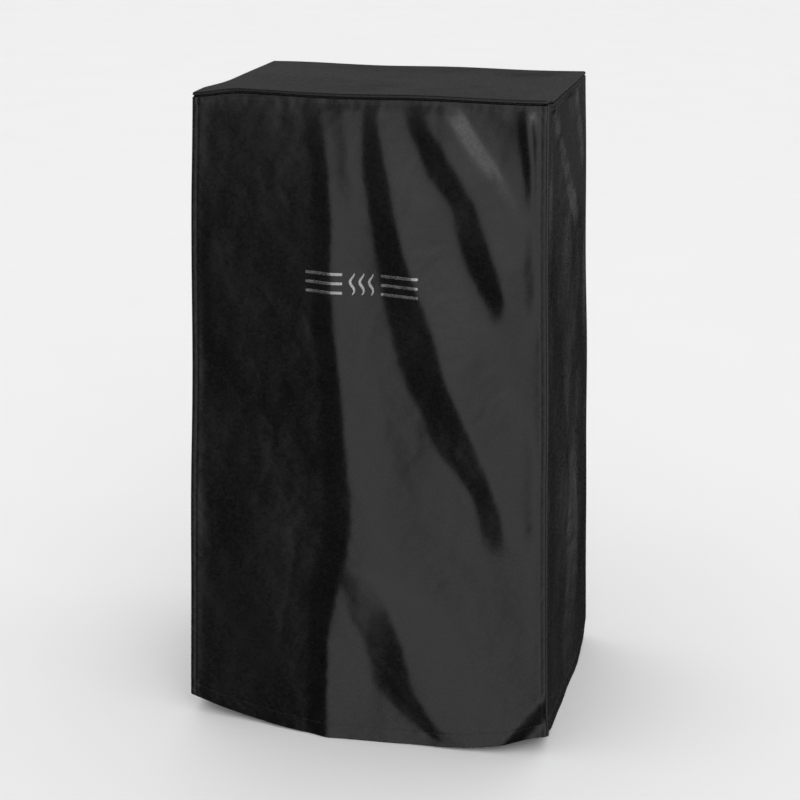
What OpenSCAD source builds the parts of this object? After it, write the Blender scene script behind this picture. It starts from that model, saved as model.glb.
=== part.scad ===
// Slip-over fabric cover for a tall cabinet smoker: a top and four walls sewn into an
// open-bottomed box, with taped seams inside and a turned-up hem. The origin is at the
// centre of the base, on the ground plane, with +Z up and the front towards -Y.

/* [Cover] */
// Height from the lowest point of the hem to the top
cover_h = 880; // [600:1:1200]
// Width of the top, side to side
top_w = 456; // [300:1:800]
// Depth of the top, front to back
top_d = 320; // [200:1:700]
// How far each wall leans out between the top and the ground plane
flare = 30; // [0:1:60]
// How much lower the hem hangs in the middle of a wall than at its corners
hem_drop = 28; // [0:1:50]

/* [Cloth] */
// Thickness of the coated cloth
cloth_t = 0.6; // [0.4:0.1:1.2]
// Height of the cloth turned up inside as the hem
hem_h = 25; // [15:1:50]
// Width of the cloth doubled under all round the edge of the top
turned_edge = 10; // [6:1:20]

/* [Seams] */
// Width of the binding tape over each seam's raw edges
tape_w = 12; // [8:1:25]
// Thickness of a taped seam: the raw edges with the tape folded over them
taped_t = 1.6; // [1:0.1:3]
// Distance of the corner stitching from the corner
corner_stitch_in = 8; // [5:0.5:15]
// Distance of the top stitching below the top
top_stitch_down = 6; // [4:0.5:15]
// Distance of the hem stitching above the lower edge
hem_stitch_up = 21; // [12:0.5:45]
// Width of a row of stitching
thread_w = 0.8; // [0.4:0.1:1.5]
// Height of a row of stitching on the cloth
thread_t = 0.3; // [0.2:0.1:0.6]

/* [Printed mark] */
// Overall width of the mark
mark_w = 150; // [90:1:220]
// Overall height of the mark
mark_h = 28; // [20:1:50]
// Height of the mark's centre above the ground plane, up the front wall
mark_z = 648; // [300:1:780]
// Width of each printed line
mark_line = 4; // [2:0.5:6]
// Thickness of the ink
ink_t = 0.2; // [0.1:0.1:0.4]

/* [Hidden] */

cloth_colour = "#1d1d1f";
tape_colour = "#151516";
thread_colour = "#26262a";
ink_colour = "#8f8f92";

// Air between two layers that lie on each other
ply_gap = 0.05;
// Shape of the hem's curve: 2 is a parabola, more keeps the middle flatter
hem_power = 3;
// Straight pieces that make up the hem's curve on one wall
hem_steps = 24;

// Angle of the walls from upright, and the length of a wall measured up its slope
lean = atan(flare / cover_h);
wall_len = cover_h / cos(lean);
// Distance up the slope at which a wall stops under the top
wall_top = (cover_h - cloth_t - ply_gap) / cos(lean);
// Depth of the first inner layer below a wall's outer face
ply_2 = cloth_t + ply_gap;

// Wisps and grate bars of the printed mark
wisp_count = 3;
wisp_pitch = 12;
wisp_sway = 2.6;
wisp_turns = 1.25;
wisp_steps = 28;
wisp_tip = 0.35;
bar_count = 3;
bar_gap = 12;

// ---- Drawing on a wall: x runs along it, y up its slope, z out of it ----

// Half the width of a wall at a distance v up its slope
function half_at(v, top_half) = top_half + flare * (1 - v / wall_len);
// Distance up the slope of the lower edge, at u from -1 to 1 across the wall
function hem_v(u) = hem_drop * pow(abs(u), hem_power) / cos(lean);
// A point a distance up from the lower edge
function hem_point(u, top_half, up) =
    [u * half_at(hem_v(u) + up, top_half), hem_v(u) + up];
// Points along the lower edge, from left to right
function hem_curve(top_half, up) =
    [for (i = [0 : hem_steps]) hem_point(2 * i / hem_steps - 1, top_half, up)];
function reversed(list) = [for (i = [len(list) - 1 : -1 : 0]) list[i]];

module on_wall(reach) {
    translate([0, -(reach + flare), 0]) rotate([90 - lean, 0, 0]) children();
}
module front_wall() { on_wall(top_d / 2) children(); }
module back_wall() { rotate([0, 0, 180]) on_wall(top_d / 2) children(); }
module right_wall() { rotate([0, 0, 90]) on_wall(top_w / 2) children(); }
module left_wall() { rotate([0, 0, -90]) on_wall(top_w / 2) children(); }

// A flat layer whose outer side lies a given depth below the wall's outer face
module ply(depth, thickness) {
    translate([0, 0, -depth - thickness]) linear_extrude(thickness) children();
}
// A flat layer standing on the wall's outer face
module raised(thickness) {
    translate([0, 0, ply_gap]) linear_extrude(thickness) children();
}

// Outline of a wall, from its curved lower edge to the top
module wall_outline(top_half) {
    top_edge = half_at(wall_top, top_half);
    polygon(concat(hem_curve(top_half, 0), [[top_edge, wall_top], [-top_edge, wall_top]]));
}
// A band that follows the lower edge
module hem_band(top_half, low, high) {
    polygon(concat(hem_curve(top_half, low), reversed(hem_curve(top_half, high))));
}
// A strip beside a wall's right-hand edge (side 1) or left-hand edge (side -1)
module edge_strip(side, inset, width, low, high) {
    function edge(v, extra) = side * (half_at(v, top_w / 2) - inset - extra);
    polygon([
        [edge(low, 0), low], [edge(high, 0), high],
        [edge(high, width), high], [edge(low, width), low]
    ]);
}

// ---- Panels ----

module top_panel() {
    inner_w = top_w - 2 * ply_2 - 2 * ply_gap;
    inner_d = top_d - 2 * ply_2 - 2 * ply_gap;
    color(cloth_colour) {
        translate([-top_w / 2, -top_d / 2, cover_h - cloth_t]) cube([top_w, top_d, cloth_t]);
        difference() {
            translate([-inner_w / 2, -inner_d / 2, cover_h - 2 * cloth_t])
                cube([inner_w, inner_d, cloth_t * 1.5]);
            translate([turned_edge - inner_w / 2, turned_edge - inner_d / 2, 0])
                cube([inner_w - 2 * turned_edge, inner_d - 2 * turned_edge, cover_h]);
        }
    }
}
module wide_panel() { ply(0, cloth_t) wall_outline(top_w / 2); }
module narrow_panel() { ply(0, cloth_t) wall_outline(top_d / 2 - ply_2); }

module front_panel() { color(cloth_colour) front_wall() wide_panel(); }
module back_panel() { color(cloth_colour) back_wall() wide_panel(); }
module left_panel() { color(cloth_colour) left_wall() narrow_panel(); }
module right_panel() { color(cloth_colour) right_wall() narrow_panel(); }

// ---- Hem: the cloth turned up inside each wall ----

module hem_ply(top_half) { ply(ply_2, cloth_t) hem_band(top_half, ply_gap, hem_h); }
module wide_hem() { hem_ply(top_w / 2 - ply_2); }
module narrow_hem() { hem_ply(top_d / 2 - 2 * ply_2); }

module hem_front() { color(cloth_colour) front_wall() wide_hem(); }
module hem_back() { color(cloth_colour) back_wall() wide_hem(); }
module hem_left() { color(cloth_colour) left_wall() narrow_hem(); }
module hem_right() { color(cloth_colour) right_wall() narrow_hem(); }

// ---- Binding tapes inside the seams ----

tape_top = cover_h - 2 * cloth_t - ply_gap;
tape_low = tape_top - tape_w;

module top_seam_tape() {
    outer_w = top_w - 2 * ply_2 - 2 * ply_gap;
    outer_d = top_d - 2 * ply_2 - 2 * ply_gap;
    inner_w = outer_w - 2 * taped_t;
    inner_d = outer_d - 2 * taped_t;
    color(tape_colour) difference() {
        translate([-outer_w / 2, -outer_d / 2, tape_low]) cube([outer_w, outer_d, tape_w]);
        translate([-inner_w / 2, -inner_d / 2, tape_low - 1])
            cube([inner_w, inner_d, tape_w + 2]);
    }
}
// A corner's tape runs from above the hem to below the top seam's tape
module corner_tape(side) {
    low = (hem_drop + hem_h + 2 * ply_gap) / cos(lean);
    high = (tape_low - 2 * ply_gap) / cos(lean);
    color(tape_colour) ply(ply_2, taped_t) edge_strip(side, ply_2, tape_w, low, high);
}

module front_left_seam_tape() { front_wall() corner_tape(-1); }
module front_right_seam_tape() { front_wall() corner_tape(1); }
module back_left_seam_tape() { back_wall() corner_tape(1); }
module back_right_seam_tape() { back_wall() corner_tape(-1); }

// ---- Rows of stitching on the outside ----

// A corner row stops short of the hem's row and of the top's row
module corner_row(side) {
    low = (hem_drop + hem_stitch_up + 2 * thread_w) / cos(lean);
    high = (cover_h - top_stitch_down - 2 * thread_w) / cos(lean);
    color(thread_colour) raised(thread_t)
        edge_strip(side, corner_stitch_in, thread_w, low, high);
}
module front_left_stitching() { front_wall() corner_row(-1); }
module front_right_stitching() { front_wall() corner_row(1); }
module back_left_stitching() { back_wall() corner_row(1); }
module back_right_stitching() { back_wall() corner_row(-1); }

module top_row(top_half) {
    v = (cover_h - top_stitch_down) / cos(lean);
    color(thread_colour) raised(thread_t)
        translate([-top_half + thread_w, v - thread_w / 2])
            square([2 * (top_half - thread_w), thread_w]);
}
module top_stitching() {
    front_wall() top_row(top_w / 2);
    back_wall() top_row(top_w / 2);
    left_wall() top_row(top_d / 2);
    right_wall() top_row(top_d / 2);
}
module hem_row(top_half) {
    color(thread_colour) raised(thread_t)
        hem_band(top_half - thread_w, hem_stitch_up, hem_stitch_up + thread_w);
}
module hem_stitching() {
    front_wall() hem_row(top_w / 2);
    back_wall() hem_row(top_w / 2);
    left_wall() hem_row(top_d / 2);
    right_wall() hem_row(top_d / 2);
}

// ---- Printed mark: three smoke wisps between two sets of grate bars ----

// A wisp's centre line sways from side to side, and its line thins towards both tips
function wisp_x(t) = wisp_sway * sin(360 * wisp_turns * t);
function wisp_half(t) = mark_line / 2 * (wisp_tip + (1 - wisp_tip) * sin(180 * t));
function wisp_side(side) = [
    for (i = [0 : wisp_steps])
        let (t = i / wisp_steps) [wisp_x(t) + side * wisp_half(t), (t - 0.5) * mark_h]
];
module wisp() { polygon(concat(wisp_side(1), reversed(wisp_side(-1)))); }

module grate_bars() {
    wisps_half = (wisp_count - 1) / 2 * wisp_pitch + bar_gap;
    bar_pitch = (mark_h - mark_line) / (bar_count - 1);
    for (i = [0 : bar_count - 1])
        translate([wisps_half, i * bar_pitch - mark_h / 2])
            square([mark_w / 2 - wisps_half, mark_line]);
}
module front_print() {
    color(ink_colour) front_wall() translate([0, mark_z / cos(lean), 0]) raised(ink_t) {
        for (i = [0 : wisp_count - 1])
            translate([(i - (wisp_count - 1) / 2) * wisp_pitch, 0]) wisp();
        grate_bars();
        mirror([1, 0]) grate_bars();
    }
}

top_panel();
front_panel();
back_panel();
left_panel();
right_panel();
hem_front();
hem_back();
hem_left();
hem_right();
top_seam_tape();
front_left_seam_tape();
front_right_seam_tape();
back_left_seam_tape();
back_right_seam_tape();
top_stitching();
front_left_stitching();
front_right_stitching();
back_left_stitching();
back_right_stitching();
hem_stitching();
front_print();
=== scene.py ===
"""Looks for a black coated-fabric cover draped over a tall cabinet smoker.

Every panel is a dense sheet built from one idea: a flat wall that leans out towards the hem,
with folds added as heights along its outward direction. Neighbouring sheets share the same
edge profiles, so they meet in a sewn groove. Lengths are in metres.
"""

import math

import bpy
import numpy as np
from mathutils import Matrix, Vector


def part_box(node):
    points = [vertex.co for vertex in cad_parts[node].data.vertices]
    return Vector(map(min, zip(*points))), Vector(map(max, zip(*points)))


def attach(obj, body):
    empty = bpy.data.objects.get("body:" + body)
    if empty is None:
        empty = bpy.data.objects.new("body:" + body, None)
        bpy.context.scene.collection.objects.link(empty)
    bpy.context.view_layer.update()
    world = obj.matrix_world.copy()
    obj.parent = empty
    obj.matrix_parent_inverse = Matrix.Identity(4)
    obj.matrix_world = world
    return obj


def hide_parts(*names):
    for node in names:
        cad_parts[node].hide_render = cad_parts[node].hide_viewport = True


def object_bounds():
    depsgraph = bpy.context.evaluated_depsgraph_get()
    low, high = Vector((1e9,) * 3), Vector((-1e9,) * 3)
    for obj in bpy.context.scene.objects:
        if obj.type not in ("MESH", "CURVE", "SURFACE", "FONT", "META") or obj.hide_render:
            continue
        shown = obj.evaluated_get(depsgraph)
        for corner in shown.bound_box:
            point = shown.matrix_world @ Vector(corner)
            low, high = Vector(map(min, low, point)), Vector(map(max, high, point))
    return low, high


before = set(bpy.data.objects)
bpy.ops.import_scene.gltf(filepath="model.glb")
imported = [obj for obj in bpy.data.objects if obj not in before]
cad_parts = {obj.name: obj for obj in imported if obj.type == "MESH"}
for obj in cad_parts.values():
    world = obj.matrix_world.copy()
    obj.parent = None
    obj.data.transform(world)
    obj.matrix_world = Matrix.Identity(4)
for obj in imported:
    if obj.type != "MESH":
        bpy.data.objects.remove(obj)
cad_lo, cad_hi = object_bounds()
MM = 0.001

# ---- Sizes, from the frame ----

top_lo, top_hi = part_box("top_panel")
front_lo, front_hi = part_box("front_panel")
print_lo, print_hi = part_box("front_print")
TOP_W = top_hi.x - top_lo.x
TOP_D = top_hi.y - top_lo.y
HEIGHT = top_hi.z
FLARE = top_lo.y - front_lo.y
HEM_DROP = 28 * MM
HEM_FADE = 400 * MM
HEM_HEIGHT = 25 * MM
CLOTH = 0.9 * MM

# Profile of a sewn edge: the covering sheet rolls over the corner and tucks in, and the
# covered sheet comes out of the same groove below it.
ROLL = 2.6 * MM
ROLL_STRAIGHT = 0.6 * MM
TUCK = 1.1 * MM
TUCK_IN = 2.8 * MM
GROOVE_AT = ROLL + ROLL_STRAIGHT + TUCK + 0.4 * MM
EDGE_BAND = 18 * MM
STITCH_IN = 8 * MM
TOP_STITCH_DOWN = GROOVE_AT + TUCK + 5.5 * MM
HEM_STITCH_UP = 21 * MM
HEM_FOLD = 1.2 * MM

# Spacing of a sheet's points, with finer ones in the bands along its sewn edges
GRID = 3.8 * MM
FINE = 1.3 * MM
HEM_BAND = 28 * MM
TOP_BAND = 24 * MM


# ---- Small tools for smooth shapes ----


def smooth(t):
    """0 below 0, 1 above 1, and a smooth step between."""
    t = np.clip(t, 0.0, 1.0)
    return t * t * (3 - 2 * t)


def ramp(x, radius):
    """0 for negative x and x for positive x, with the corner rounded off."""
    return 0.5 * (x + np.sqrt(x * x + radius * radius))


def spline(z, stations):
    """Smooth curves through stations of (z, value, value...), held past the ends."""
    table = np.array(sorted(stations), float)
    knots, values = table[:, 0], table[:, 1:]
    slopes = np.gradient(values, knots, axis=0)
    zc = np.clip(z, knots[0], knots[-1])
    i = np.clip(np.searchsorted(knots, zc, side="right") - 1, 0, len(knots) - 2)
    span = knots[i + 1] - knots[i]
    t = ((zc - knots[i]) / span)[..., None]
    span = span[..., None]
    h00, h10 = (1 + 2 * t) * (1 - t) ** 2, t * (1 - t) ** 2
    h01, h11 = t * t * (3 - 2 * t), t * t * (t - 1)
    made = h00 * values[i] + h10 * span * slopes[i]
    made = made + h01 * values[i + 1] + h11 * span * slopes[i + 1]
    return [made[..., k] for k in range(values.shape[1])]


def ripple(x, y, size, seed, octaves=1):
    """A smooth random field of about unit height, whose features are about size across."""
    rng = np.random.default_rng(seed)
    total, weight = np.zeros(np.broadcast(x, y).shape), 0.0
    for octave in range(octaves):
        strength = 0.5**octave
        wave = 2 * math.pi / (size / 2**octave)
        for _ in range(10):
            angle, phase = rng.uniform(0, math.pi), rng.uniform(0, 2 * math.pi)
            k = wave * rng.uniform(0.6, 1.3)
            total += strength * np.sin(k * (x * math.cos(angle) + y * math.sin(angle)) + phase)
        weight += strength * math.sqrt(5)
    return total / weight


def creases(x, y, size, seed):
    """Thin soft creases: 1 along the lines where a random field crosses zero, 0 elsewhere."""
    return np.exp(-((ripple(x, y, size, seed, 2) * 5) ** 2))


# ---- Folds ----


def pleat(x, z, stations, sharp=3.5 * MM):
    """A fold that climbs from its left edge to its right edge and falls away beyond it.
    A station is z, left edge, right edge, height and length of the fall, all in mm."""
    left, right, height, fall = (v * MM for v in spline(z / MM, stations))
    rise = height / np.maximum(right - left, 1 * MM)
    drop = height / np.maximum(fall, 1 * MM)
    climb = rise * (ramp(x - left, sharp) - ramp(x - right, sharp))
    return climb - drop * (ramp(x - right, sharp) - ramp(x - right - fall, 3 * sharp))


def front_folds(x, z):
    # The ridge down the front: everything left of it is turned to the left
    ridge_x, ridge_h = spline(
        z / MM,
        [(0, -50, 16), (171, -44, 17.5), (319, -18, 18), (446, -22, 17.5), (622, -39, 16),
         (751, -42, 12.5), (840, -54, 6), (880, -64, 1)],
    )
    ridge_x, ridge_h = ridge_x * MM, ridge_h * MM
    left_edge, right_edge = -TOP_W / 2, TOP_W / 2
    left_slope = ridge_h / (ridge_x - left_edge)
    right_slope = ridge_h / (right_edge - ridge_x)
    soft = 6 * MM + 16 * MM * np.exp(-(((z - 0.30) / 0.10) ** 2))
    d = ridge_h - left_slope * ramp(ridge_x - x, soft) - right_slope * ramp(x - ridge_x, soft)
    d = np.maximum(d, -4 * MM)
    # Beside the ridge the cloth turns away more steeply
    d = d + pleat(
        x, z,
        [(0, -76, -50, 4.5, 60), (171, -70, -44, 5, 60), (319, -50, -14, 4, 55),
         (446, -50, -22, 4.5, 50), (622, -64, -39, 4.5, 44), (751, -64, -42, 4, 36),
         (840, -74, -54, 2.5, 28), (880, -82, -64, 0.5, 24)],
    )
    # The long diagonal fold from the top seam to the right-hand side
    d += pleat(
        x, z,
        [(880, 0, 12, 1, 30), (848, 0, 19, 5, 40), (771, 3, 37, 8.5, 55), (712, 15, 50, 9.5, 60),
         (662, 22, 67, 11, 65), (588, 38, 96, 13, 75), (533, 54, 113, 13.5, 80),
         (489, 77, 133, 13, 80), (434, 100, 157, 10.5, 75), (370, 147, 181, 7, 55),
         (320, 160, 194, 5, 45), (285, 168, 198, 0, 40)],
    )
    # The shorter diagonal fold to its right
    d += pleat(
        x, z,
        [(880, 44, 64, 1, 50), (850, 54, 82, 5.5, 84), (821, 69, 102, 7.5, 84),
         (785, 85, 127, 9, 80), (756, 109, 144, 8.5, 66), (712, 120, 159, 8.5, 60),
         (662, 142, 178, 8, 50), (628, 159, 184, 5, 40), (600, 169, 176, 0, 30)],
    )
    # The cloth beyond it drops sharply, then comes slowly back
    d += pleat(
        x, z,
        [(880, 93, 117, -3, 50), (863, 104, 126, -4.4, 54), (849, 114, 137, -4.8, 56),
         (834, 124, 147, -4.8, 54), (816, 137, 160, -4.6, 50), (798, 152, 173, -4, 44),
         (782, 165, 182, -3, 36), (760, 181, 193, -1.6, 24), (738, 190, 200, 0, 20)],
        sharp=2 * MM,
    )
    # The wedge-shaped fold that runs down to the hem
    d += pleat(
        x, z,
        [(262, -33, -4, 0, 40), (226, -25, 28, 6, 60), (193, -17, 46, 9, 70), (145, 6, 61, 9, 80),
         (86, 18, 76, 8.5, 80), (57, 46, 92, 6.5, 70), (26, 82, 107, 3, 60), (8, 105, 116, 0, 50)],
    )
    # Small tucks by the top seam
    d += pleat(
        x, z,
        [(878, 188, 204, 3, 14), (852, 194, 209, 5, 12), (806, 202, 214, 5, 12),
         (770, 206, 215, 4, 10), (735, 208, 216, 0, 10)],
        sharp=2 * MM,
    )
    d += pleat(
        x, z,
        [(878, -48, -30, 0.8, 16), (830, -40, -22, 1.8, 18), (780, -34, -15, 1.6, 18),
         (700, -28, -8, 0, 18)],
    )
    return d


def right_folds(y, z):
    # A hollow just behind the front corner, and a rise towards the back corner
    steep, depth = spline(
        z / MM,
        [(0, 44, 3), (90, 46, 6), (320, 50, 8), (520, 50, 8), (700, 48, 7), (800, 50, 5),
         (860, 46, 3), (880, 40, 1)],
    )
    from_corner = (y + TOP_D / 2 + FLARE * (1 - z / HEIGHT)) / MM
    d = -depth * MM * (smooth(from_corner / steep) - 0.9 * smooth((from_corner - 150) / 165))
    # Folds that fan out from the top of that corner
    d += pleat(
        y, z,
        [(880, -118, -100, 2.5, 110), (848, -92, -73, 4.8, 110), (816, -57, -36, 5.4, 110),
         (783, -21, 1, 5.8, 100), (743, 18, 42, 6, 90), (705, 52, 79, 5.4, 70),
         (668, 76, 110, 2.4, 50), (630, 96, 134, 0, 40)],
        sharp=2 * MM,
    )
    d += pleat(
        y, z,
        [(850, -144, -122, 0, 26), (825, -138, -110, 2.4, 28), (793, -133, -104, 3, 30),
         (759, -128, -98, 3, 32), (700, -122, -92, 2.2, 34), (650, -118, -86, 0, 36)],
        sharp=2 * MM,
    )
    d += pleat(
        y, z,
        [(880, 54, 72, 1.5, 40), (868, 63, 84, 2.6, 40), (835, 82, 103, 3.2, 36),
         (804, 101, 122, 2.8, 24), (770, 116, 134, 1.2, 16), (740, 126, 142, 0, 12)],
        sharp=2 * MM,
    )
    # Soft folds lower down
    d += pleat(
        y, z,
        [(420, 40, 70, 0, 60), (300, 30, 74, 4, 70), (160, 10, 66, 5, 80), (60, -10, 50, 2.5, 80),
         (0, -16, 44, 1, 80)],
    )
    return d + 1.5 * MM * smooth((0.72 - z) / 0.5) * np.sin(y / 0.07 + 3 * z)


def left_folds(y, z):
    # y here runs from the back corner to the front corner, the other way from the frame's
    d = pleat(
        y, z,
        [(880, 60, 74, 1, 20), (820, 44, 70, 5, 34), (740, 20, 56, 9, 48), (640, -10, 34, 10.5, 60),
         (520, -44, 6, 9.5, 70), (400, -72, -20, 6.5, 70), (300, -90, -40, 0, 60)],
    )
    d += pleat(
        y, z,
        [(880, -96, -84, 1, 18), (830, -92, -72, 4.5, 26), (740, -84, -54, 6.5, 34),
         (640, -80, -44, 4, 40), (560, -76, -40, 0, 40)],
    )
    d += pleat(
        y, z,
        [(250, 30, 60, 0, 50), (200, 24, 66, 6, 60), (130, 40, 84, 8, 60), (60, 62, 104, 7, 50),
         (10, 84, 120, 2, 40)],
    )
    d += 4 * MM * smooth((0.8 - z) / 0.5) * np.cos(y / 0.085 + 2.2 * z)
    return d


def back_folds(x, z):
    # x here runs from the right-hand corner to the left-hand one, the other way from the
    # frame's. A soft swag hangs from both top corners, with straight folds below it
    d = pleat(
        x, z,
        [(880, -150, -134, 1, 30), (820, -132, -100, 6, 46), (740, -104, -58, 10, 70),
         (650, -64, -8, 11.5, 90), (540, -30, 30, 9, 100), (430, -8, 56, 5, 100),
         (330, 8, 70, 0, 90)],
    )
    d += pleat(
        x, z,
        [(880, 96, 112, 1, 20), (820, 100, 124, 5.5, 36), (730, 112, 146, 9, 50),
         (620, 128, 166, 8, 56), (500, 146, 184, 5, 50), (400, 160, 198, 0, 44)],
    )
    d += pleat(
        x, z,
        [(420, -170, -140, 0, 50), (340, -164, -120, 8, 70), (220, -150, -96, 11, 90),
         (100, -134, -76, 10, 90), (0, -126, -66, 8, 80)],
    )
    d += pleat(
        x, z,
        [(300, 60, 96, 0, 60), (230, 62, 108, 7, 70), (120, 78, 130, 9, 80), (0, 92, 150, 7, 70)],
    )
    d += 7 * MM * smooth((0.86 - z) / 0.5) * np.cos(x / 0.17)
    return d


# ---- Walls ----

# How far the top's lip stands off each wall's upper edge
TOP_GAP = {"front": 1.0 * MM, "right": 0.0, "back": 0.3 * MM, "left": 0.0}

# Each wall: direction along it seen from outside, outward direction, its half width and
# its distance out at the top, its folds, whether its sides roll over its neighbours, a seed
WALLS = {
    "front": ((1, 0), (0, -1), TOP_W / 2, TOP_D / 2, front_folds, True, 11),
    "right": ((0, 1), (1, 0), TOP_D / 2, TOP_W / 2, right_folds, False, 23),
    "back": ((-1, 0), (0, 1), TOP_W / 2, TOP_D / 2, back_folds, True, 37),
    "left": ((0, -1), (-1, 0), TOP_D / 2, TOP_W / 2, left_folds, False, 41),
}


def corner_shift(px, py, z):
    """How far a corner edge strays from straight, in x and y, for the corner towards px, py."""
    seed = {(1, -1): 3, (1, 1): 5, (-1, 1): 7, (-1, -1): 9}[(int(px), int(py))]
    size = smooth((HEIGHT - z) / 0.15)
    sx = 1.2 * MM * ripple(z, 0 * z, 0.5, seed, 2) * size
    sy = 1.2 * MM * ripple(z, 0 * z, 0.45, seed + 50, 2) * size
    return sx, sy


def hem_tuck(x, y, z):
    """How far the foot of the front right corner is pushed in under itself."""
    from_corner = np.hypot(x - TOP_W / 2 - FLARE, y + TOP_D / 2 + FLARE)
    return smooth((78 * MM - from_corner - 0.7 * z) / (45 * MM))


def edge_pull(x, y, z):
    """The cloth is drawn up and back over the front edge of the top: the share of it, 0 to 1."""
    near = smooth((z - HEIGHT + 26 * MM) / (20 * MM)) * smooth((50 * MM - y - TOP_D / 2) / (45 * MM))
    return near * smooth((x + TOP_W / 2 - 2 * MM) / (60 * MM))


def edge_sag(x, y):
    """How far the upper edge sags on the left, behind the front corner."""
    beside = np.exp(-(((x + TOP_W / 2) / 0.05) ** 2 + ((y + TOP_D / 2 - 0.12) / 0.07) ** 2))
    across = (x + TOP_W / 2) * 0.5 + (y + TOP_D / 2) * 0.87
    ridge = ramp(0.036 - across, 0.006) - 0.5 * ramp(0.05 - across, 0.012)
    return 2.6 * MM * beside + 0.09 * ridge * smooth((0.13 - x - TOP_W / 2) / 0.08)


def warp(x, y, z):
    """The bends that every layer shares at a place, so that the layers stay together."""
    tuck, pull = hem_tuck(x, y, z), edge_pull(x, y, z)
    near_top = smooth((z - HEIGHT + 0.06) / 0.06)
    lift = (0.5 * MM * ripple(x, y, 0.2, 71) - edge_sag(x, y)) * near_top
    return x - 2 * MM * tuck, y + 13 * MM * tuck + 2.5 * MM * pull, z + lift + 4.5 * MM * pull


def hem_shape(u):
    """Height of the lower edge across a wall, u from -1 to 1, lowest in the middle."""
    return HEM_DROP * np.abs(u) ** 3


class Wall:
    def __init__(self, name):
        along, out, self.half_top, self.reach_top, self.folds, self.rolls, self.seed = WALLS[name]
        self.name = name
        self.a, self.n = np.array(along, float), np.array(out, float)

    def half(self, z):
        return self.half_top + FLARE * (1 - z / HEIGHT)

    def height(self, s, z, z0):
        """How far the cloth stands out from the flat wall at s along it and z up."""
        side = self.half(z) - np.abs(s)
        flat_edge = smooth((side - 6 * MM) / (24 * MM))
        flat_top = smooth((HEIGHT - GROOVE_AT - TUCK - z) / (14 * MM))
        d = self.folds(s, z) * flat_edge * (0.1 + 0.9 * flat_top)
        d = d + 0.9 * MM * ripple(s, z * 0.7, 0.16, self.seed, 2) * flat_edge * flat_top
        d = d + 0.14 * MM * ripple(s, z, 0.035, self.seed + 1, 2) * flat_edge
        d = d - 0.22 * MM * creases(s, z * 0.8, 0.12, self.seed + 2) * flat_edge
        # Sewn rows press the cloth in, and it puckers between them and the seam
        rows = [(HEIGHT - z, TOP_STITCH_DOWN), (z0, HEM_STITCH_UP)]
        if self.rolls:
            rows.append((side, STITCH_IN))
        for distance, row in rows:
            d = d - 0.25 * MM * np.exp(-(((distance - row) / (1.6 * MM)) ** 2))
        pucker = 0.16 * MM * np.sin(s / (2.1 * MM) + 2 * ripple(s, z, 0.03, self.seed + 3))
        d = d + pucker * np.exp(-(((HEIGHT - z - TOP_STITCH_DOWN) / (7 * MM)) ** 2))
        pucker = 0.14 * MM * np.sin(s / (2.6 * MM) + 2 * ripple(s, z, 0.03, self.seed + 4))
        d = d + pucker * np.exp(-(((z0 - HEM_STITCH_UP) / (8 * MM)) ** 2))
        pucker = 0.14 * MM * np.sin(z / (2.4 * MM) + 2 * ripple(s, z, 0.03, self.seed + 5))
        return d + pucker * np.exp(-(((side - STITCH_IN) / (7 * MM)) ** 2)) * smooth(side / (6 * MM))

    def place(self, u, p, z0, turn=0.0, dip=0.0):
        """Points of the wall. u is -1 to 1 across its middle, p a distance out into the band
        along its edge, z0 a height above the hem, turn the angle by which the edge rolls round
        the corner, and dip a depth below the surface."""
        side = np.sign(u) * (p != 0)
        flat_half = self.half(z0)
        across = (np.abs(u) * (flat_half - EDGE_BAND) + p) / flat_half
        z = z0 + hem_shape(across) * (1 - smooth(z0 / HEM_FADE))
        s = u * (self.half(z) - EDGE_BAND) + side * p
        return self.place_flat(s, z, z0, dip, turn * side)

    def place_flat(self, s, z, z0, dip=0.0, turn=0.0):
        half = self.half(z)
        reach = self.reach_top + FLARE * (1 - z / HEIGHT)
        inside = np.clip(half - np.abs(s), 0, None)
        out = reach + self.height(s, z, z0) * np.cos(turn) - dip * np.cos(turn)
        side_dip = -dip * np.sin(turn)
        x = self.a[0] * (s + side_dip) + self.n[0] * out
        y = self.a[1] * (s + side_dip) + self.n[1] * out
        for side in (-1, 1):
            corner = self.a * side + self.n
            sx, sy = corner_shift(corner[0], corner[1], z)
            pull = np.where(np.sign(s) == side, np.exp(-((inside / (34 * MM)) ** 2)), 0.0)
            x, y = x + sx * pull, y + sy * pull
        x, y, z = warp(x, y, z)
        return np.stack(np.broadcast_arrays(x, y, z), -1)

    def at(self, s, z0, rise=0.0):
        """Points on the wall at s along it and z0 up from its lower edge."""
        s, z0 = np.broadcast_arrays(np.asarray(s, float), np.asarray(z0, float))
        u = np.clip(s / self.half(z0), -1, 1)
        z = z0 + hem_shape(u) * (1 - smooth(z0 / HEM_FADE))
        return self.place_flat(s, z, z0, -rise)

    def normals(self, s, z0):
        step = 0.4 * MM
        across = self.at(s + step, z0) - self.at(s - step, z0)
        up = self.at(s, z0 + step) - self.at(s, z0 - step)
        n = np.cross(across, up)
        return n / np.linalg.norm(n, axis=-1, keepdims=True)


# ---- Meshes ----


def new_object(name, verts, faces, material, uv=None, smooth_shaded=True):
    mesh = bpy.data.meshes.new(name)
    mesh.from_pydata(np.asarray(verts).tolist(), [], np.asarray(faces).tolist())
    mesh.validate()
    if uv is not None:
        layer = mesh.uv_layers.new(name="cloth")
        loop_vertex = np.empty(len(mesh.loops), int)
        mesh.loops.foreach_get("vertex_index", loop_vertex)
        layer.data.foreach_set("uv", np.asarray(uv)[loop_vertex].astype(np.float32).ravel())
    mesh.polygons.foreach_set("use_smooth", [smooth_shaded] * len(mesh.polygons))
    mesh.materials.append(material)
    piece = bpy.data.objects.new(name, mesh)
    bpy.context.scene.collection.objects.link(piece)
    return piece


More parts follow.
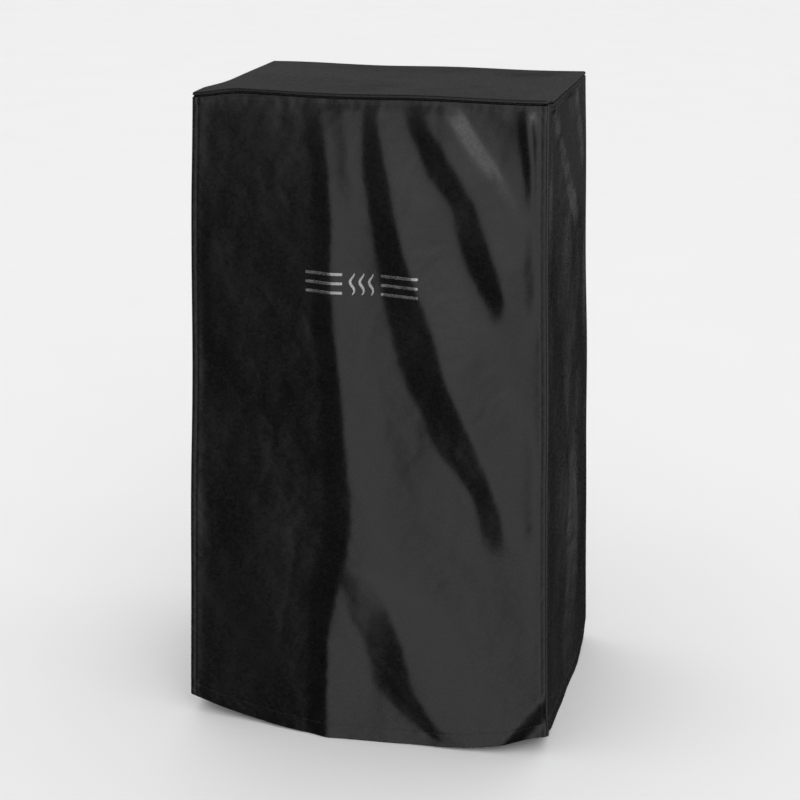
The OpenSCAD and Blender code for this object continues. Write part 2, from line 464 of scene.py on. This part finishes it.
def grid_faces(rows, cols, start=0):
    index = np.arange(rows * cols).reshape(rows, cols) + start
    return np.stack([index[:-1, :-1], index[:-1, 1:], index[1:, 1:], index[1:, :-1]], -1).reshape(-1, 4)


def grids_object(name, grids, material, thickness):
    """One object from one or more grids of (points, uv), thickened inwards."""
    verts, faces, uvs, start = [], [], [], 0
    for points, uv in grids:
        rows, cols = points.shape[:2]
        verts.append(points.reshape(-1, 3))
        uvs.append(uv.reshape(-1, 2))
        faces.append(grid_faces(rows, cols, start))
        start += rows * cols
    verts, faces, uvs = np.concatenate(verts), np.concatenate(faces), np.concatenate(uvs)
    piece = new_object(name, verts, faces, material, uvs)
    solid = piece.modifiers.new("thickness", "SOLIDIFY")
    solid.thickness = thickness
    solid.offset = -1
    solid.use_even_offset = True
    solid.use_rim = True
    return piece


def finish_piece(piece, node):
    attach(piece, "root")
    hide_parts(node)
    return piece


def steps(low, high, spacing):
    """Even steps from low up to and with high."""
    return np.linspace(low, high, max(2, int(round((high - low) / spacing)) + 1))


def quarter(count):
    """Angles of a quarter turn, after its start."""
    return np.linspace(0, math.pi / 2, count + 1)[1:]


def wall_sheet(wall, name, node, material):
    """The whole panel of a wall, from the hem's fold to the groove under the top."""
    # Columns: p is a distance out into the side band, and q one back round the corner
    middle = steps(-1, 1, GRID / (wall.half_top - EDGE_BAND))
    if wall.rolls:
        flats = steps(0, EDGE_BAND - ROLL, FINE)[1:]
        arc = quarter(6)
        tuck = quarter(4)
        rolled = EDGE_BAND - ROLL + ROLL * np.sin(arc)
        tucked = EDGE_BAND - TUCK_IN + TUCK_IN * np.cos(tuck)
        p = np.concatenate([flats, rolled, [EDGE_BAND], tucked])
        rolled = ROLL - ROLL * np.cos(arc)
        tucked = ROLL + ROLL_STRAIGHT + TUCK * np.sin(tuck)
        q = np.concatenate([0 * flats, rolled, [ROLL + ROLL_STRAIGHT], tucked])
        turn = np.concatenate([0 * flats, arc, [math.pi / 2], math.pi / 2 + 0 * tuck])
    else:
        flats = steps(0, EDGE_BAND - GROOVE_AT - TUCK, FINE)[1:]
        arc = quarter(5)
        p = np.concatenate([flats, EDGE_BAND - GROOVE_AT - TUCK + TUCK * np.sin(arc)])
        q = np.concatenate([0 * flats, TUCK_IN - TUCK_IN * np.cos(arc)])
        turn = 0 * p
    ends = np.ones(len(p))
    u = np.concatenate([-ends, middle, ends])
    p = np.concatenate([p[::-1], 0 * middle, p])
    q = np.concatenate([q[::-1], 0 * middle, q])
    turn = np.concatenate([turn[::-1], 0 * middle, turn])
    # Rows, from the fold of the hem to the groove under the top
    fold = quarter(4)[::-1]
    hem_rows = steps(HEM_FOLD, HEM_BAND, 1.7 * MM)
    top_of_wall = HEIGHT - GROOVE_AT - TUCK - TOP_GAP[wall.name]
    main = steps(HEM_BAND, HEIGHT - TOP_BAND, GRID)[1:]
    top_rows = steps(HEIGHT - TOP_BAND, top_of_wall, FINE)[1:]
    arc = quarter(5)
    curl = HEM_FOLD - HEM_FOLD * np.sin(fold)
    z0 = np.concatenate([curl, hem_rows, main, top_rows, top_of_wall + TUCK * np.sin(arc)])
    flat = 0 * np.concatenate([hem_rows, main, top_rows])
    curl = HEM_FOLD - HEM_FOLD * np.cos(fold)
    dip = np.concatenate([curl, flat, TUCK_IN - TUCK_IN * np.cos(arc)])
    zz, uu = np.meshgrid(z0, u, indexing="ij")
    dd, pp = np.meshgrid(dip, p, indexing="ij")
    qq = np.broadcast_to(q, zz.shape)
    turns = np.broadcast_to(turn, zz.shape)
    points = wall.place(uu, pp, zz, turns, dd)
    points[..., 0] -= wall.n[0] * qq
    points[..., 1] -= wall.n[1] * qq
    uv = np.stack([uu * (wall.half(zz) - EDGE_BAND) + np.sign(uu) * (pp + qq), zz], -1)
    piece = grids_object(name, [(points, uv)], material, CLOTH)
    return finish_piece(piece, node)


def top_height(x, y):
    """How far the top panel departs from level at x, y."""
    edge = np.minimum(TOP_W / 2 - np.abs(x), TOP_D / 2 - np.abs(y))
    inside = smooth((edge - 3 * MM) / (60 * MM))
    z = -2.6 * MM * inside + 1.0 * MM * ripple(x, y, 0.22, 81, 2) * inside
    z += 0.22 * MM * ripple(x, y, 0.05, 82, 2) * smooth(edge / (12 * MM))
    z -= 0.5 * MM * creases(x, y * 0.8, 0.2, 83) * inside
    return z


def top_sheet(material):
    """The top panel: rings of a rectangle, whose outer rings roll over the walls' edges."""
    flat_w, flat_d = TOP_W / 2 - ROLL, TOP_D / 2 - ROLL
    arc, tuck = quarter(7), quarter(4)
    out = np.concatenate([ROLL * np.sin(arc), [ROLL], ROLL - TUCK_IN + TUCK_IN * np.cos(tuck)])
    tucked = ROLL + ROLL_STRAIGHT + TUCK * np.sin(tuck)
    drop = np.concatenate([ROLL - ROLL * np.cos(arc), [ROLL + ROLL_STRAIGHT], tucked])
    ring = np.arange(1, len(out) + 1)
    band = 14 * MM

    def line(flat):
        middle = steps(-flat + band, flat - band, GRID)
        edge = steps(0, band, FINE)[1:]
        core = np.concatenate([(-flat + band - edge)[::-1], middle, flat - band + edge])
        place = np.concatenate([0 * ring - flat, core, 0 * ring + flat])
        rings = np.concatenate([-ring[::-1], 0 * core, ring])
        return place, rings

    px, rx = line(flat_w)
    py, ry = line(flat_d)
    y, x = np.meshgrid(py, px, indexing="ij")
    ring_y, ring_x = np.meshgrid(ry, rx, indexing="ij")
    level = np.maximum(np.abs(ring_x), np.abs(ring_y)).astype(int)
    out_at = np.concatenate([[0.0], out])[level]
    drop_at = np.concatenate([[0.0], drop])[level]
    # Towards a corner the rings turn on an arc
    both = np.maximum(np.abs(ring_x) + np.abs(ring_y), 1)
    angle = math.pi / 2 * np.abs(ring_y) / both
    x = x + np.sign(ring_x) * out_at * np.where(ring_y == 0, 1, np.cos(angle))
    y = y + np.sign(ring_y) * out_at * np.where(ring_x == 0, 1, np.sin(angle))
    z = HEIGHT - drop_at + top_height(x, y)
    uv = np.stack([x + np.sign(ring_x) * drop_at, y + np.sign(ring_y) * drop_at], -1)
    x, y, z = warp(x, y, z)
    piece = grids_object("top_cloth", [(np.stack([x, y, z], -1), uv)], material, CLOTH)
    return finish_piece(piece, "top_panel")


def strip_grid(wall, s, z0, depth):
    """A grid on the inside of a wall. s, z0 and depth are 2-D arrays."""
    points = wall.at(s, z0, -depth)
    return points, np.stack([s, z0], -1)


def hem_sheet(wall, material):
    """The cloth turned up inside the hem, with the curl of the fold at its foot."""
    rows = np.arange(3, 25.1, 2.2)
    up = np.concatenate([[0.5, 0.9, 1.6], rows]) * MM
    depth = np.concatenate([[1.15, 1.35, 1.45], 0 * rows + 1.3]) * MM
    reach = wall.half(0.03) - (ROLL + 3 * MM if wall.rolls else GROOVE_AT + 4 * MM)
    s, z0 = np.meshgrid(steps(-reach, reach, GRID), up)
    depth = np.broadcast_to(depth[:, None], s.shape)
    points, uv = strip_grid(wall, s, z0, depth)
    piece = grids_object("hem_cloth_" + wall.name, [(points, uv)], material, 0.8 * MM)
    return finish_piece(piece, "hem_" + wall.name)


def corner_tape(wall, side, node, material):
    """Binding tape up the inside of a corner seam, swollen over the raw edges."""
    across = np.linspace(0, 1, 9)
    z0 = steps(HEM_HEIGHT + 30 * MM, HEIGHT - 24 * MM, 4 * MM)
    zz, cc = np.meshgrid(z0, across, indexing="ij")
    inset = 6 * MM + 12 * MM * cc
    s = side * (wall.half(zz) - inset)
    depth = 1.3 * MM + 0.9 * MM * np.sin(math.pi * cc) ** 0.5
    if side > 0:
        s, depth = s[:, ::-1], depth[:, ::-1]
    points, uv = strip_grid(wall, s, zz, depth)
    piece = grids_object(node, [(points, uv)], material, 0.7 * MM)
    return finish_piece(piece, node)


def top_tape(walls, material):
    """Binding tape round the inside of the top seam."""
    grids = []
    for wall in walls.values():
        reach = wall.half_top - 6 * MM - (0 if wall.rolls else 3 * MM)
        down = np.linspace(0, 1, 8)[:, None]
        z0 = HEIGHT - 17 * MM + 13.5 * MM * down[:, 0]
        zz, s = np.meshgrid(z0, steps(-reach, reach, 4 * MM), indexing="ij")
        depth = 1.3 * MM + 3.0 * MM * smooth(2.5 * down) * np.ones_like(s)
        grids.append(strip_grid(wall, s, zz, depth))
    piece = grids_object("top_tape", grids, material, 0.7 * MM)
    return finish_piece(piece, "top_seam_tape")


# ---- Stitches ----

STITCH = 3.4 * MM
STITCH_GAP = 0.9 * MM


def stitch_shape():
    """One stitch along x, as rings of points with its ends sunk in the cloth, and its faces."""
    along = np.array([-0.5, -0.42, -0.2, 0.2, 0.42, 0.5]) * STITCH
    lift = np.array([-0.25, 0.08, 0.2, 0.2, 0.08, -0.25]) * MM
    radius = np.array([0.10, 0.20, 0.27, 0.27, 0.20, 0.10]) * MM
    sides = 6
    angle = np.arange(sides) * 2 * math.pi / sides
    rings = np.stack(
        [
            np.broadcast_to(along[:, None], (len(along), sides)),
            radius[:, None] * np.cos(angle),
            lift[:, None] + radius[:, None] * np.sin(angle),
        ],
        -1,
    ).reshape(-1, 3)
    faces = []
    for i in range(len(along) - 1):
        for j in range(sides):
            k = (j + 1) % sides
            faces.append([i * sides + j, i * sides + k, (i + 1) * sides + k, (i + 1) * sides + j])
    last = (len(along) - 1) * sides
    for a in (1, 3):
        faces.append([0, a + 2, a + 1, a])
        faces.append([last, last + a, last + a + 1, last + a + 2])
    return rings, np.array(faces)


def value_at(t, length, values):
    """The 3-D value at distance t along a line, from the values at its points."""
    return np.array([np.interp(t, length, values[:, axis]) for axis in range(3)])


def stitch_row(points, normals, seed):
    """Stitches laid end to end along a line of points."""
    rings, faces = stitch_shape()
    rng = np.random.default_rng(seed)
    gaps = np.linalg.norm(np.diff(points, axis=0), axis=1)
    length = np.concatenate([[0], np.cumsum(gaps)])
    centres = np.arange(STITCH, length[-1] - STITCH, STITCH + STITCH_GAP)
    verts, polys = [], []
    for k, c in enumerate(centres):
        middle, up = value_at(c, length, points), value_at(c, length, normals)
        forward = value_at(c + STITCH / 2, length, points) - value_at(c - STITCH / 2, length, points)
        up = up / np.linalg.norm(up)
        forward = forward / np.linalg.norm(forward)
        across = np.cross(up, forward)
        slant = math.radians(rng.normal(0, 3))
        x = forward * math.cos(slant) + across * math.sin(slant)
        y = np.cross(up, x)
        verts.append(middle + rings @ np.array([x, y, up]))
        polys.append(faces + k * len(rings))
    return np.concatenate(verts), np.concatenate(polys)


def stitches(name, node, rows, material):
    verts, faces, start = [], [], 0
    for k, (wall, s, z0) in enumerate(rows):
        s, z0 = np.broadcast_arrays(s, z0)
        v, f = stitch_row(wall.at(s, z0), wall.normals(s, z0), 500 + k)
        verts.append(v)
        faces.append(f + start)
        start += len(v)
    piece = new_object(name, np.concatenate(verts), np.concatenate(faces), material)
    return finish_piece(piece, node)


# ---- Printed mark ----


LINE = 4 * MM
WISP_PITCH = 12 * MM
WISP_SWAY = 2.6 * MM
BARS_START = 24 * MM
BAR_END = 1.2 * MM


def print_shapes():
    """The outlines of the mark as ribbons: lists of centre points and half widths."""
    height = print_hi.z - print_lo.z
    half_w = (print_hi.x - print_lo.x) / 2
    ribbons = []
    for i in (-1, 0, 1):
        t = np.linspace(0, 1, 61)
        x = i * WISP_PITCH + WISP_SWAY * np.sin(2 * math.pi * 1.25 * t)
        ribbons.append((x, (t - 0.5) * height, LINE / 2 * (0.35 + 0.65 * np.sin(math.pi * t))))
    for k in range(3):
        zc = (k - 1) * (height - LINE) / 2
        for side in (-1, 1):
            t = np.linspace(0, 1, 50)
            x = side * (BARS_START + (half_w - BARS_START) * t)
            ends = np.clip(np.minimum(t, 1 - t) * (half_w - BARS_START) / BAR_END, 0, 1)
            width = LINE / 2 * np.sqrt(np.clip(1 - (1 - ends) ** 2, 0.05, 1))
            ribbons.append((x, zc + 0 * t, width))
    return ribbons


def print_piece(wall, material):
    centre_z = (print_lo.z + print_hi.z) / 2
    grids = []
    for x, z, half in print_shapes():
        dx, dz = np.gradient(x), np.gradient(z)
        size = np.hypot(dx, dz)
        across = np.linspace(-1, 1, 7)
        s = x[:, None] + across * half[:, None] * (-dz / size)[:, None]
        zz = centre_z + z[:, None] + across * half[:, None] * (dx / size)[:, None]
        points = wall.at(s, zz, 0.16 * MM)
        uv = np.stack([s, zz], -1)
        outward = np.cross(points[0, 1] - points[0, 0], points[1, 0] - points[0, 0])
        if outward[1] > 0:
            points, uv = points[:, ::-1], uv[:, ::-1]
        grids.append((points, uv))
    piece = grids_object("front_mark", grids, material, 0.12 * MM)
    return finish_piece(piece, "front_print")


# ---- Materials ----


class Nodes:
    """Short names for building a node tree."""

    def __init__(self, tree):
        self.tree = tree

    def add(self, kind, **settings):
        node = self.tree.nodes.new(kind)
        for key, value in settings.items():
            setattr(node, key, value)
        return node

    def link(self, a, b):
        self.tree.links.new(a, b)

    def math(self, operation, a, b=None, clamp=False):
        node = self.add("ShaderNodeMath", operation=operation, use_clamp=clamp)
        for socket, value in zip(node.inputs, (a, b)):
            if value is None:
                continue
            if isinstance(value, (int, float)):
                socket.default_value = value
            else:
                self.link(value, socket)
        return node.outputs[0]

    def noise(self, vector, scale, detail=2.0, rough=0.5, distortion=0.0):
        node = self.add("ShaderNodeTexNoise")
        self.link(vector, node.inputs["Vector"])
        node.inputs["Scale"].default_value = scale
        node.inputs["Detail"].default_value = detail
        node.inputs["Roughness"].default_value = rough
        node.inputs["Distortion"].default_value = distortion
        return node.outputs["Fac"]

    def span(self, value, low, high, to_low=0.0, to_high=1.0, smoothed=False):
        node = self.add("ShaderNodeMapRange", interpolation_type="SMOOTHSTEP" if smoothed else "LINEAR")
        self.link(value, node.inputs["Value"])
        limits = {"From Min": low, "From Max": high, "To Min": to_low, "To Max": to_high}
        for name, limit in limits.items():
            node.inputs[name].default_value = limit
        return node.outputs["Result"]

    def mix(self, factor, a, b):
        node = self.add("ShaderNodeMix", data_type="RGBA")
        for socket, value in ((node.inputs[0], factor), (node.inputs[6], a), (node.inputs[7], b)):
            if isinstance(value, (int, float)):
                socket.default_value = value
            elif isinstance(value, tuple):
                socket.default_value = (*value, 1.0)
            else:
                self.link(value, socket)
        return node.outputs[2]

    def bump(self, height, distance, strength, normal=None):
        node = self.add("ShaderNodeBump")
        node.inputs["Strength"].default_value = strength
        node.inputs["Distance"].default_value = distance
        self.link(height, node.inputs["Height"])
        if normal is not None:
            self.link(normal, node.inputs["Normal"])
        return node.outputs["Normal"]


def start_material(name):
    material = bpy.data.materials.new(name)
    material.use_nodes = True
    nodes = Nodes(material.node_tree)
    return material, nodes, material.node_tree.nodes["Principled BSDF"]


WEAVE_PITCH = 0.9 * MM


def weave_height(nodes, uv, pitch):
    """A plain weave: rounded threads that pass over and under each other."""
    split = nodes.add("ShaderNodeSeparateXYZ")
    nodes.link(uv, split.inputs[0])
    u = nodes.math("DIVIDE", split.outputs[0], pitch)
    v = nodes.math("DIVIDE", split.outputs[1], pitch)
    square = nodes.math("ADD", nodes.math("FLOOR", u), nodes.math("FLOOR", v))
    parity = nodes.math("PINGPONG", square, 1.0)
    thread = nodes.math("ABSOLUTE", nodes.math("SINE", nodes.math("MULTIPLY", u, math.pi)))
    weft = nodes.math("ABSOLUTE", nodes.math("SINE", nodes.math("MULTIPLY", v, math.pi)))
    over = nodes.math("MULTIPLY", thread, parity)
    under = nodes.math("MULTIPLY", weft, nodes.math("SUBTRACT", 1.0, parity))
    return nodes.math("ADD", over, under)


def cloth_material(name, base, light, roughness, inside=False):
    """Coated polyester: a tight weave under a satin coat, mottled and a little dusty."""
    material, nodes, shader = start_material(name)
    uv = nodes.add("ShaderNodeUVMap", uv_map="cloth").outputs[0]
    place = nodes.add("ShaderNodeTexCoord").outputs["Object"]
    mottle = nodes.noise(place, 210, 3, 0.6)
    cloud = nodes.noise(place, 9, 3, 0.55)
    stretch = nodes.add("ShaderNodeMapping")
    stretch.inputs["Scale"].default_value = (60, 520, 1)
    nodes.link(uv, stretch.inputs["Vector"])
    slub = nodes.noise(stretch.outputs[0], 1.0, 2, 0.5)
    weave = weave_height(nodes, uv, WEAVE_PITCH)
    # Colour: slow clouds, fine mottling and darker gaps between threads
    tone = nodes.span(cloud, 0.3, 0.7, 0.0, 0.35)
    tone = nodes.math("ADD", tone, nodes.span(mottle, 0.3, 0.7, 0.0, 0.25))
    tone = nodes.math("ADD", tone, nodes.math("MULTIPLY", weave, 0.15))
    tone = nodes.math("ADD", tone, nodes.span(slub, 0.4, 0.7, 0.0, 0.15), clamp=True)
    colour = nodes.mix(tone, base, light)
    # Worn and dusty along the raised edges
    edge = nodes.span(nodes.add("ShaderNodeNewGeometry").outputs["Pointiness"], 0.51, 0.58, 0.0, 0.5)
    worn = nodes.math("MULTIPLY", edge, nodes.span(mottle, 0.35, 0.65))
    colour = nodes.mix(worn, colour, tuple(c * 2.2 for c in light))
    nodes.link(colour, shader.inputs["Base Color"])
    rough = nodes.span(mottle, 0.3, 0.7, roughness - 0.05, roughness + 0.06)
    rough = nodes.math("ADD", rough, nodes.span(cloud, 0.3, 0.7, -0.03, 0.03))
    rough = nodes.math("ADD", rough, nodes.math("MULTIPLY", worn, 0.15))
    nodes.link(rough, shader.inputs["Roughness"])
    normal = nodes.bump(nodes.noise(place, 75, 3, 0.6, 0.3), 0.4 * MM, 0.3)
    normal = nodes.bump(mottle, 0.16 * MM, 0.5, normal)
    normal = nodes.bump(slub, 0.07 * MM, 0.4, normal)
    normal = nodes.bump(weave, 0.04 * MM, 0.9 if inside else 0.4, normal)
    nodes.link(normal, shader.inputs["Normal"])
    shader.inputs["IOR"].default_value = 1.5
    shader.inputs["Specular IOR Level"].default_value = 0.5 if not inside else 0.3
    shader.inputs["Sheen Weight"].default_value = 0.001
    shader.inputs["Sheen Roughness"].default_value = 0.5
    return material


def tape_material():
    """Ribbed polyester binding tape."""
    material, nodes, shader = start_material("seam_tape")
    uv = nodes.add("ShaderNodeUVMap", uv_map="cloth").outputs[0]
    split = nodes.add("ShaderNodeSeparateXYZ")
    nodes.link(uv, split.inputs[0])
    across = nodes.math("ADD", split.outputs[0], split.outputs[1])
    ribs = nodes.math("SINE", nodes.math("DIVIDE", across, 0.28 * MM))
    place = nodes.add("ShaderNodeTexCoord").outputs["Object"]
    fuzz = nodes.noise(place, 400, 3, 0.6)
    colour = nodes.mix(fuzz, (0.010, 0.010, 0.011), (0.026, 0.026, 0.028))
    nodes.link(colour, shader.inputs["Base Color"])
    nodes.link(nodes.span(fuzz, 0.3, 0.7, 0.6, 0.8), shader.inputs["Roughness"])
    normal = nodes.bump(ribs, 0.12 * MM, 0.7)
    nodes.link(nodes.bump(fuzz, 0.08 * MM, 0.5, normal), shader.inputs["Normal"])
    shader.inputs["Sheen Weight"].default_value = 0.1
    return material


def thread_material():
    """Twisted polyester thread."""
    material, nodes, shader = start_material("thread")
    place = nodes.add("ShaderNodeTexCoord").outputs["Object"]
    fibre = nodes.noise(place, 1500, 2, 0.5)
    tone = nodes.noise(place, 60, 2, 0.5)
    colour = nodes.mix(fibre, (0.006, 0.006, 0.0065), (0.022, 0.022, 0.023))
    colour = nodes.mix(nodes.span(tone, 0.35, 0.65, 0.0, 0.4), colour, (0.026, 0.026, 0.027))
    nodes.link(colour, shader.inputs["Base Color"])
    nodes.link(nodes.span(fibre, 0.3, 0.7, 0.35, 0.55), shader.inputs["Roughness"])
    nodes.link(nodes.bump(fibre, 0.05 * MM, 0.6), shader.inputs["Normal"])
    shader.inputs["Sheen Weight"].default_value = 0.1
    return material


def ink_material():
    """Silver ink: flakes of metal in a thin film that shows a little of the weave."""
    material, nodes, shader = start_material("ink")
    uv = nodes.add("ShaderNodeUVMap", uv_map="cloth").outputs[0]
    place = nodes.add("ShaderNodeTexCoord").outputs["Object"]
    wear = nodes.noise(place, 260, 4, 0.65)
    weave = weave_height(nodes, uv, WEAVE_PITCH)
    colour = nodes.mix(nodes.span(wear, 0.35, 0.65), (0.38, 0.38, 0.382), (0.52, 0.52, 0.523))
    gaps = nodes.math("MULTIPLY", nodes.math("SUBTRACT", 1.0, weave), 0.35)
    nodes.link(nodes.mix(gaps, colour, (0.20, 0.20, 0.202)), shader.inputs["Base Color"])
    nodes.link(nodes.span(wear, 0.3, 0.7, 0.23, 0.32), shader.inputs["Roughness"])
    shader.inputs["Metallic"].default_value = 0.95
    normal = nodes.bump(weave, 0.10 * MM, 0.4)
    nodes.link(nodes.bump(wear, 0.06 * MM, 0.4, normal), shader.inputs["Normal"])
    return material


# ---- The object ----


# Darkest and lightest colour of the cloth outside and inside
OUTSIDE = ((0.0020, 0.0020, 0.0021), (0.0072, 0.0072, 0.0075))
INSIDE = ((0.006, 0.006, 0.0064), (0.016, 0.016, 0.017))

# Each corner seam: the wall that rolls over it, and the side of that wall
CORNERS = {
    "front_left": ("front", -1),
    "front_right": ("front", 1),
    "back_left": ("back", 1),
    "back_right": ("back", -1),
}


def build_cover():
    cloth = cloth_material("coated_cloth", *OUTSIDE, 0.27)
    inner = cloth_material("cloth_inside", *INSIDE, 0.62, inside=True)
    tape, thread, ink = tape_material(), thread_material(), ink_material()
    walls = {name: Wall(name) for name in WALLS}
    top = top_sheet(cloth)
    for name, wall in walls.items():
        sheet = wall_sheet(wall, name + "_cloth", name + "_panel", cloth)
        hem = hem_sheet(wall, inner)
        if name == "front":
            print_piece(wall, ink)
    for corner, (name, side) in CORNERS.items():
        wall = walls[name]
        corner_tape(wall, side, corner + "_seam_tape", tape)
        z0 = steps(HEM_STITCH_UP + 3 * MM, HEIGHT - TOP_STITCH_DOWN - 2 * MM, 1.5 * MM)
        z = z0 + hem_shape(0.97) * (1 - smooth(z0 / HEM_FADE))
        s = side * (wall.half(z) - STITCH_IN)
        stitches(corner + "_stitches", corner + "_stitching", [(wall, s, z0)], thread)
    top_tape(walls, tape)
    top_rows, hem_rows = [], []
    for wall in walls.values():
        inset = 5 * MM if wall.rolls else GROOVE_AT + 3 * MM
        reach = wall.half_top - inset
        top_rows.append((wall, steps(-reach, reach, 1.5 * MM), HEIGHT - TOP_STITCH_DOWN))
        reach = wall.half(HEM_STITCH_UP + HEM_DROP) - inset
        hem_rows.append((wall, steps(-reach, reach, 1.5 * MM), HEM_STITCH_UP))
    stitches("top_stitches", "top_stitching", top_rows, thread)
    stitches("hem_stitches", "hem_stitching", hem_rows, thread)


# ---- Studio ----


def floor_material():
    material, nodes, shader = start_material("pale_floor")
    place = nodes.add("ShaderNodeTexCoord").outputs["Object"]
    grain = nodes.noise(place, 3, 3, 0.5)
    nodes.link(nodes.mix(grain, (0.87, 0.87, 0.87), (0.90, 0.90, 0.90)), shader.inputs["Base Color"])
    shader.inputs["Roughness"].default_value = 0.9
    shader.inputs["Specular IOR Level"].default_value = 0.1
    return material


def build_floor():
    size = 60.0
    corners = [(-size, -size, 0), (size, -size, 0), (size, size, 0), (-size, size, 0)]
    floor = new_object("floor", corners, [(0, 1, 2, 3)], floor_material(), smooth_shaded=False)
    floor.location.z = cad_lo.z - 0.5 * MM
    floor.visible_glossy = False


# Soft reflectors round the object, as seen from it: azimuth range (0 in front of it, 90 to
# its right), elevation range, softness of the edges and brightness, all in degrees but the last
REFLECTORS = [
    (-16, 29, -50, 11, 3, 0.95),
    (-16, -6, 9, 22, 2, 0.95),
    (-16, 36, 20, 75, 4, 0.95),
    (6, 30, 3, 34, 5, 0.6),
    (76, 100, -50, 40, 14, 0.8),
    (108, 122, -50, -12, 10, 0.6),
    (-118, -86, -50, 30, 16, 1.0),
    (100, 150, -21, 40, 2, 0.62),
    (140, 166, -11.5, 40, 1.2, 0.05),
    (140, 180, -11.5, 40, 1.2, 0.035),
    (100, 160, -50, -22, 4, 0.06),
    (-158, -134, -50, -6, 4, 0.7),
]
LOW_GLOW = 0.007
HIGH_GLOW = 0.15
ROOM_WHITE = 1.0


def build_world():
    """White for what the camera sees and for soft light, with reflectors for the gloss."""
    world = bpy.data.worlds.new("studio")
    bpy.context.scene.world = world
    world.use_nodes = True
    world.cycles.sampling_method = "NONE"
    nodes = Nodes(world.node_tree)
    background = world.node_tree.nodes["Background"]
    split = nodes.add("ShaderNodeSeparateXYZ")
    nodes.link(nodes.add("ShaderNodeTexCoord").outputs["Generated"], split.inputs[0])
    azimuth = nodes.math("ARCTAN2", split.outputs[0], nodes.math("MULTIPLY", split.outputs[1], -1.0))
    elevation = nodes.math("ARCSINE", split.outputs[2])
    total = nodes.span(elevation, math.radians(-4), math.radians(9), LOW_GLOW, HIGH_GLOW, smoothed=True)
    for az_low, az_high, el_low, el_high, soft, glow in REFLECTORS:
        patch = None
        for value, low, high in ((azimuth, az_low, az_high), (elevation, el_low, el_high)):
            low, high, half = math.radians(low), math.radians(high), math.radians(soft)
            window = nodes.math(
                "MULTIPLY",
                nodes.span(value, low - half, low + half, smoothed=True),
                nodes.span(value, high - half, high + half, 1.0, 0.0, smoothed=True),
            )
            patch = window if patch is None else nodes.math("MULTIPLY", patch, window)
        total = nodes.math("ADD", total, nodes.math("MULTIPLY", patch, glow))
    grey = nodes.add("ShaderNodeCombineColor")
    for socket in grey.inputs:
        nodes.link(total, socket)
    glossy = nodes.add("ShaderNodeLightPath").outputs["Is Glossy Ray"]
    colour = nodes.mix(glossy, (ROOM_WHITE, ROOM_WHITE, ROOM_WHITE), grey.outputs[0])
    nodes.link(colour, background.inputs["Color"])


def add_softbox(name, place, target, size, watts):
    light = bpy.data.lights.new(name, "AREA")
    light.shape = "RECTANGLE"
    light.size, light.size_y = size
    light.energy = watts
    lamp = bpy.data.objects.new(name, light)
    bpy.context.scene.collection.objects.link(lamp)
    lamp.location = place
    direction = np.array(target, float) - np.array(place, float)
    lamp.rotation_mode = "QUATERNION"
    lamp.rotation_quaternion = Vector(direction).to_track_quat("-Z", "Y")
    lamp.visible_camera = False
    return lamp


# The camera, fitted to the cover's visible corners: it looks down by CAMERA_PITCH and is
# turned by CAMERA_YAW from square to the front
CAMERA_AT = (0.5351, -2.0618, 1.1688)
CAMERA_PITCH = math.radians(19.08)
CAMERA_YAW = math.radians(14.46)
LENS = 71.5
SENSOR = 36


def build_camera():
    data = bpy.data.cameras.new("camera")
    data.sensor_width = SENSOR
    data.lens = LENS
    data.clip_end = 200
    camera = bpy.data.objects.new("camera", data)
    bpy.context.scene.collection.objects.link(camera)
    camera.location = CAMERA_AT
    camera.rotation_euler = (math.radians(90) - CAMERA_PITCH, 0, CAMERA_YAW)
    bpy.context.scene.camera = camera


build_camera()
build_cover()
build_floor()
build_world()
add_softbox("key", place=(1.3, -2.2, 1.9), target=(0, 0, 0.5), size=(1.2, 1.2), watts=8)
bpy.context.scene.view_settings.view_transform = "Standard"
